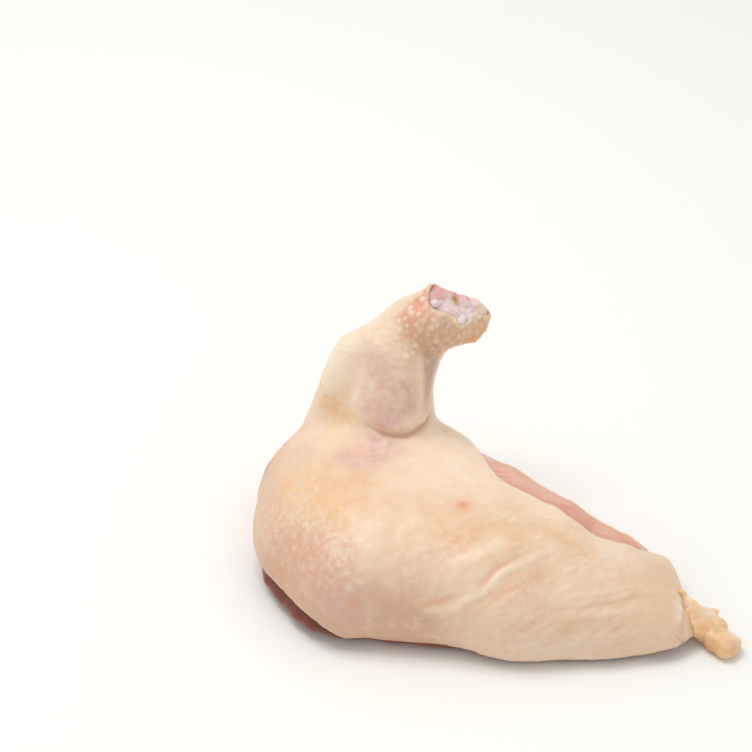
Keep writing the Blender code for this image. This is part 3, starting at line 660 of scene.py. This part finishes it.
# the sheet's thickness: a rim round the cut edge, and the inner face
outward = edge_outward(base_points, base_normal)
thick = EDGE_THICK + (SKIN_THICK - EDGE_THICK) * rise(0.0, 4.0, edge_away)
thick *= 1.0 - ELBOW_THINNING * rise(70.0, 78.0, base_points[:, 2])
middle = (base_points[edge_verts] - base_normal[edge_verts] * (0.55 * EDGE_THICK)
          + outward * RIM_BULGE)
inner = base_points[:coarse_count] - base_normal[:coarse_count] * thick[:coarse_count, None]
middle_of = {index: count + place for place, index in enumerate(edge_verts.tolist())}
first_inner = count + len(edge_verts)
faces = [tuple(face) for face in quads.tolist()]
for a, b in following.items():
    faces.append((b, a, middle_of[a], middle_of[b]))
for a in [index for index in edge_verts.tolist() if index < coarse_count]:
    chain = [a]
    while len(chain) == 1 or chain[-1] >= coarse_count:
        chain.append(following[chain[-1]])
    faces.append(tuple(middle_of[index] for index in reversed(chain))
                 + (first_inner + a, first_inner + chain[-1]))
for face in coarse_faces:
    faces.append(tuple(first_inner + index for index in reversed(face)))
skin_mesh = bpy.data.meshes.new("skin_sheet")
skin_mesh.from_pydata(np.concatenate((points, middle, inner)) * MM, [], faces)
skin_mesh.shade_smooth()
skin = bpy.data.objects.new("skin_sheet", skin_mesh)
bpy.context.scene.collection.objects.link(skin)
bpy.data.objects.remove(sheet)

# what shows through the skin, what lies on it, and the shade and highlights painted on it
mottle = grain(points, 3.2, 44.0, 2)
low_front = rise(40.0, 14.0, z) * rise(-8.0, -30.0, y)
pebbled = patches(points, ((-31, 35, 88, 5, 0.5), (-28, 30, 86, 6, 0.8), (-22, 28, 84, 7, 1.0),
                           (-19, 29, 80, 6, 1.0), (-24, 28, 77, 5, 0.6), (-16, 29, 84, 5, 1.0)))
SKIN_MARKS = {
    # painted shade: darker and rosier low in front and low on the left end, where less light falls
    "painted_low_shade": low_front * rise(-8.0, -34.0, x) + 0.35 * low_front
    + 0.7 * rise(-48.0, -66.0, x) * rise(42.0, 28.0, z),
    "peach": patches(points, ((-9, -30, 40, 13, 0.9), (8, -26, 38.5, 13, 0.9),
                              (-28, -24.5, 42.5, 12, 0.7), (-48, -12, 43.5, 12, 0.8),
                              (26, -24, 34, 10, 0.9), (42, -28, 28, 9, 0.7),
                              (60, -30, 18, 12, 0.9), (50, -44, 18, 10, 0.5),
                              (-60, 0, 41, 16, 0.9))),
    "pink": patches(points, ((-13, -33.5, 39, 6, 0.4), (-20, -34.5, 38, 7, 0.4),
                             (-31, -42, 31, 9, 0.6), (-9.5, -32.5, 39.5, 4, 0.3),
                             (43, -48, 18.5, 4, 0.6), (-65, -24, 32, 13, 0.9),
                             (-55, -35, 33, 9, 0.8), (10, -45, 28, 9, 0.5),
                             (-80, -4, 26, 9, 0.8))) * rise(-0.5, 0.4, speckle),
    "fat": patches(points, ((-73, 0.5, 34.5, 6, 1.0), (-67.5, 2, 38.5, 5, 0.8),
                            (-62, -11, 40, 6, 1.0), (-56.5, -15, 41, 6, 1.0),
                            (-53, -22.5, 40.5, 4, 0.6), (-77, 12.5, 31.5, 5, 0.6),
                            (-60.5, 34, 51, 6, 0.8), (-56.5, 30, 48, 6, 0.9),
                            (-51, 25, 48.5, 4, 0.5))) * rise(-0.6, 0.2, mottle),
    "lavender": patches(points, (
        (-42.5, 28, 71.5, 6, 0.7), (-39, 24.5, 68.5, 6, 0.7), (-41.5, 22, 61.5, 7, 0.8),
        (-39, 19, 55, 7, 0.9), (-34, 18, 52.5, 6, 0.8), (-45, 22.5, 58.5, 6, 0.6),
        (-46, 32.5, 73.5, 4, 0.4), (-34, 22.5, 64.5, 7, 0.7), (-31, 22.5, 58, 6, 0.6),
        (-48, 5.5, 44.5, 8, 0.8), (-42.5, 11, 45, 7, 0.8), (-37, 9.5, 45, 6, 0.5),
        (-53.5, 9.5, 43.5, 5, 0.5), (-68, 16, 38, 6, 0.6), (-35.5, -16, 44.5, 6, 0.3),
        (-58, -41, 22, 8, 0.6), (-50, -45, 18, 9, 0.6))) * (0.6 + 0.4 * rise(-0.5, 0.4, mottle)),
    "rose": 0.6 * drawn(points, FOLD_GROOVE, 1.6),
    # brownish: painted shade in the hollow below the fold and in the left groove; round the elbow's
    # cut under its lobe, the thin skin's own colour with painted shade; and two small patches low in
    # front
    "tan_and_painted_shade": np.maximum(patches(points, ((-8, 30, 81, 7, 1.0), (-2, 37, 80, 7, 0.9),
                                       (-6, 31, 77, 5, 0.8), (10.5, -53.5, 19.5, 4, 0.4),
                                       (24, -52, 17.5, 4, 0.4))),
                      np.maximum(0.45 * drawn(points, BELOW_FOLD, 3.0),
                                 0.6 * drawn(points, LEFT_GROOVE, 1.4))),
    "pebble_tan": pebbled,
    # painted shade: the stump's right side, turned from the lamp, darkened
    "painted_side_shade": 0.9 * drawn(points, STUMP_FACET, 3.4) + 0.4 * drawn(points, STUMP_SIDE, 1.4),
    "red": patches(points, ((-29, 36.5, 91, 3.4, 0.6), (-26.5, 37, 92.5, 3, 0.7),
                            (-27, 33, 90.5, 3.4, 0.6), (-30.5, 32.5, 88, 3.5, 0.5),
                            (-28.5, 41, 91.5, 3, 0.5), (-24.5, 41, 93, 2.4, 0.8),
                            (-31, 29, 83, 3.5, 0.3)))
    * rise(0.35, 0.05, bumps[1]),
    # painted highlight: a greyish-white wet sheen on the rough band near the front hem
    "painted_wet_sheen": 0.8 * rough_hem * rise(-0.2, 0.4, streaks),
    # whitish: the follicles, fat specks, wrinkles and streaks of the skin itself, and painted
    # highlights along the fold's ridges, down the stump's ridge and on the tip's rim
    "pale_and_painted_highlight": 1.5 * bumps[0] + 0.9 * bumps[1] + 0.7 * drawn(points, FOLD_RIDGE, 1.2)
    + 0.45 * drawn(points, FOLD_TAIL, 1.4) + 0.5 * drawn(points, UPPER_RIDGE, 2.0)
    + 0.6 * web * rise(0.0, 0.8, web_stripes) + 0.5 * drawn(points, STUMP_PALE, 1.2)
    + patches(points, ((-56, 36, 66, 7, 0.8), (-57, 36, 58, 7, 0.6), (-50, 36, 74, 6, 0.5)))
    + (0.08 + 0.14 * shoulder) * rise(0.2, -0.7, speckle)
    + 0.3 * rise(-0.2, 0.8, streaks) * to_right
    + patches(points, ((66, -30, 10, 2.6, 0.8), (65.5, -36, 11.2, 2.8, 0.9),
                       (65, -41.5, 11.5, 2.6, 0.7), (-43.5, 24.5, 64, 1.8, 0.6),
                       (-34.5, 24, 68.5, 2.2, 0.5), (-32.5, 21.5, 61.5, 1.8, 0.3),
                       (-48, 29, 65, 2.2, 0.5), (-35, 20, 58.5, 1.8, 0.3),
                       (-49.5, 27, 57.5, 2.2, 0.5), (-20, 6, 42, 14, 0.4),
                       (44, -22, 27, 9, 0.6), (20, -12, 37, 9, 0.4))),
    "spot": patches(points, ((-11, -17.5, 43, 2.0, 0.7), (-12.5, -18, 43, 4.5, 0.3),
                             (-76, -26, 17.5, 4.0, 0.5), (-50.5, -44.5, 21, 2.4, 0.4),
                             (-52.5, -25.5, 39.5, 2.0, 0.35))),
    "amber": 0.3 * np.exp(-(crease_away / 0.8) ** 2) * rise(0.4, 0.75, crease_along)
    + 0.3 * np.exp(-(crease_away / 0.8) ** 2) * crease_end
    + 0.3 * drawn(points, TIP_LINE, 0.9) + 0.5 * drawn(points, TIP_SEAM, 1.2),
    "strip_root": patches(points, ((69.6, -36, 8.5, 2.6, 1.0), (70, -40.3, 8.3, 3.0, 1.0),
                                   (70.6, -43.1, 7.1, 3.0, 1.0))) * rise(66.6, 68.2, x),
    "rim_red": rise(1.6, 0.4, edge_away) * rise(78.0, 82.0, z) * rise(-20.0, -23.0, x),
}
for name, values in SKIN_MARKS.items():
    mark(skin_mesh, name, np.concatenate((values, values[edge_verts], np.zeros(len(inner)))))
mark(skin_mesh, "edge", np.concatenate((np.clip(1.0 - edge_away / 1.2, 0.0, 1.0),
                                        np.ones(len(edge_verts) + len(inner)))))


def raw_skin():
    """Plucked raw skin: cream over yellow fat and lavender flesh, moist, dotted with follicles, with
    painted shade low in front, on the stump's right side and in the fold's hollow, and painted
    highlights on the ridges, the tip's rim and a wet band near the hem.
    """
    material, tree, shader = new_material(
        "raw_skin", (1.0, 0.55, 0.35), Roughness=0.42, IOR=1.4, Subsurface_Weight=0.35,
        Subsurface_Scale=0.0015, Coat_Weight=0.15, Coat_Roughness=0.25)
    where = node(tree, "ShaderNodeTexCoord").outputs["Object"]
    mottle = node(tree, "ShaderNodeTexNoise", links={
        "Vector": where, "Scale": 1000 / 7.0, "Detail": 4.0, "Roughness": 0.6})
    share = node(tree, "ShaderNodeMapRange", links={
        "Value": mottle.outputs["Fac"], "From Min": 0.35, "From Max": 0.7})
    colour = node(tree, "ShaderNodeMix", {"data_type": "RGBA"}, {
        0: share.outputs["Result"], 6: linear("#EED2B5"), 7: linear("#F3DDC4")}).outputs[2]
    for mask, size, low, high, code in (
            ("painted_low_shade", 6.0, 0.0, 0.5, "#D6AE92"), ("peach", 8.0, 0.1, 0.6, "#E9C19B"),
            ("pink", 5.0, 0.1, 0.7, "#E3AC95"), ("fat", 4.0, 0.2, 0.6, "#ECBE88"),
            ("lavender", 5.0, 0.05, 0.6, "#DEB4AA"), ("rose", 3.0, 0.1, 0.4, "#E2A585"),
            ("tan_and_painted_shade", 3.0, 0.1, 0.45, "#E6B086"), ("pebble_tan", 2.4, 0.0, 0.5, "#D2A482"),
            ("painted_side_shade", 3.0, 0.0, 0.4, "#BA9488"), ("red", 2.0, 0.1, 0.6, "#DE8C76"),
            ("painted_wet_sheen", 2.0, 0.2, 0.7, "#E0D2C6"), ("pale_and_painted_highlight", 3.0, 0.1, 0.5, "#F7E6D0"),
            ("edge", 4.0, 0.1, 0.4, "#EBD1B5"), ("rim_red", 1.5, 0.3, 0.7, "#D8958A"),
            ("spot", 2.0, 0.0, 0.3, "#E3A179"), ("amber", 2.0, 0.1, 0.4, "#D89B6E"),
            ("strip_root", 3.0, 0.0, 0.3, "#DDB083")):
        colour = tinted(tree, colour, where, mask, size, low, high, code)
    tree.links.new(colour, shader.inputs["Base Color"])
    pores = node(tree, "ShaderNodeTexNoise", links={
        "Vector": where, "Scale": 1000 / 0.8, "Detail": 3.0})
    relief = node(tree, "ShaderNodeBump", links={
        "Height": pores.outputs["Fac"], "Strength": 0.4, "Distance": 0.00025})
    tree.links.new(relief.outputs["Normal"], shader.inputs["Normal"])
    return material


skin_mesh.materials.append(raw_skin())
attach(skin, "root")
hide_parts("skin")


# The strip at the tip: a tongue of skin and fat, soft, yellowish and see-through, trailing on the
# board, with a thin ragged frill along its upper side where it was torn loose.
STRIP_VOXEL = 0.45
STRIP_ROUNDS = 26           # of smoothing, which melts the lumps together
FRILL_SHIFT = 2.0           # how far the frill's far end is drawn in against the tip
# Lumps of the neck and of the frill: x, y, z and three radii.
STRIP_LUMPS = ((68.6, -36.5, 6.4, 3.2, 4.2, 2.4), (70.5, -39.0, 5.4, 4.0, 4.0, 2.8),
               (70.3, -38.5, 7.6, 2.2, 4.2, 1.7), (71.4, -42.2, 5.8, 2.2, 3.0, 2.2),
               (72.0, -38.8, 4.2, 3.4, 3.8, 3.0), (74.3, -41.5, 3.2, 3.4, 3.8, 3.0),
               (77.0, -45.3, 3.2, 3.4, 3.8, 2.9), (81.0, -48.6, 3.1, 4.2, 4.2, 3.0),
               (79.3, -38.6, 4.2, 4.0, 4.0, 3.2), (76.6, -35.2, 4.4, 3.8, 3.4, 3.0),
               (73.4, -33.0, 5.0, 3.6, 3.0, 2.5), (69.6, -29.6, 6.2, 2.2, 4.0, 2.0),
               (73.0, -31.2, 5.6, 3.2, 2.2, 1.8), (76.0, -32.0, 5.0, 3.2, 2.2, 1.8),
               (78.6, -31.8, 5.0, 2.4, 1.6, 1.3), (78.8, -44.2, 3.6, 4.4, 4.4, 3.3),
               (83.2, -46.4, 3.3, 4.0, 4.0, 3.1))


def loose_fat():
    """Fat under thin skin: honey coloured, see-through and moist, paler where it is thin, and darker
    amber low on its side as painted shade.
    """
    material, tree, shader = new_material(
        "loose_fat", (1.0, 0.7, 0.4), Roughness=0.36, IOR=1.42, Subsurface_Weight=0.8,
        Subsurface_Scale=0.003, Coat_Weight=0.15, Coat_Roughness=0.2)
    where = node(tree, "ShaderNodeTexCoord").outputs["Object"]
    clouds = node(tree, "ShaderNodeTexNoise", links={
        "Vector": where, "Scale": 1000 / 3.0, "Detail": 3.0})
    share = node(tree, "ShaderNodeMapRange", links={
        "Value": clouds.outputs["Fac"], "From Min": 0.35, "From Max": 0.65})
    colour = node(tree, "ShaderNodeMix", {"data_type": "RGBA"}, {
        0: share.outputs["Result"], 6: linear("#E3B98A"), 7: linear("#E9C79C")}).outputs[2]
    for mask, size, low, high, code in (("thin", 2.0, 0.1, 0.4, "#F0DCC6"),
                                        ("painted_amber_shade", 2.5, 0.1, 0.5, "#D59E68")):
        colour = tinted(tree, colour, where, mask, size, low, high, code)
    tree.links.new(colour, shader.inputs["Base Color"])
    return material


work = welded("tip_strip")
for x, y, z, *radii in STRIP_LUMPS:
    add_lump(work, (x, y, z), radii)
strip = new_piece("strip", work)
even_quads(strip, STRIP_VOXEL, STRIP_ROUNDS)
points = places(strip.data)
lump = 0.3 * grain(points, 5.0, 2.0) + 0.1 * grain(points, 1.8, 4.0, 2)
points = points + facings(strip.data) * (lump * rise(0.2, 2.0, points[:, 2]))[:, None]
points[:, 0] -= FRILL_SHIFT * rise(-32.0, -27.0, points[:, 1])
points[:, 1] -= 0.5 * np.clip(points[:, 1] + 28.0, 0.0, 20.0)
put(strip.data, points)
mark(strip.data, "thin", patches(points, ((85, -46, 6, 3.5, 0.9), (76, -33.5, 6.6, 4.0, 0.8),
                                          (69, -30, 8, 3.0, 0.6))))
# painted shade: darker amber low on the strip's side, next to the board
mark(strip.data, "painted_amber_shade", patches(points, ((73, -44, 2, 3.5, 0.9), (76, -48.5, 2, 3.5, 0.9),
                                                (70, -41, 4, 3.0, 0.6))))
strip.data.materials.append(loose_fat())
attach(strip, "root")
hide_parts("tip_strip")


# The board it lies on, and the light: one large soft lamp from above on the left, a little
# behind, and the pale room all round.
BOARD_REACH = 3.0           # metres, as in the lamp's values
LAMP_PLACE = (-0.28, 0.12, 0.95)
LAMP_AIM = (0.0, 0.0, 0.02)
LAMP_SIZE = 0.5
LAMP_POWER = 4.0
ROOM_LIGHT = 0.72


def white_laminate():
    """White laminate, smooth, which gives the eye a faint satin and soft shadows."""
    material = bpy.data.materials.new("white_laminate")
    material.use_nodes = True
    shader = material.node_tree.nodes["Principled BSDF"]
    shader.inputs["Base Color"].default_value = linear("#F8F8F4")
    shader.inputs["Roughness"].default_value = 0.55
    return material


work = bmesh.new()
bmesh.ops.create_grid(work, x_segments=1, y_segments=1, size=BOARD_REACH)
board = new_piece("board", work)
board.data.materials.append(white_laminate())

world = bpy.data.worlds.new("room")
world.use_nodes = True
world.node_tree.nodes["Background"].inputs["Color"].default_value = (1.0, 0.995, 0.985, 1.0)
world.node_tree.nodes["Background"].inputs["Strength"].default_value = ROOM_LIGHT
bpy.context.scene.world = world


def soft_lamp(name, place, aim, size, power):
    """A square lamp as wide as a photographer's diffuser."""
    light = bpy.data.lights.new(name, "AREA")
    light.shape = "SQUARE"
    light.size = size
    light.energy = power
    lamp = bpy.data.objects.new(name, light)
    lamp.location = place
    lamp.rotation_euler = (Vector(aim) - Vector(place)).to_track_quat("-Z", "Y").to_euler()
    bpy.context.scene.collection.objects.link(lamp)


soft_lamp("top_lamp", LAMP_PLACE, LAMP_AIM, LAMP_SIZE, LAMP_POWER)
bpy.context.scene.view_settings.view_transform = "Standard"
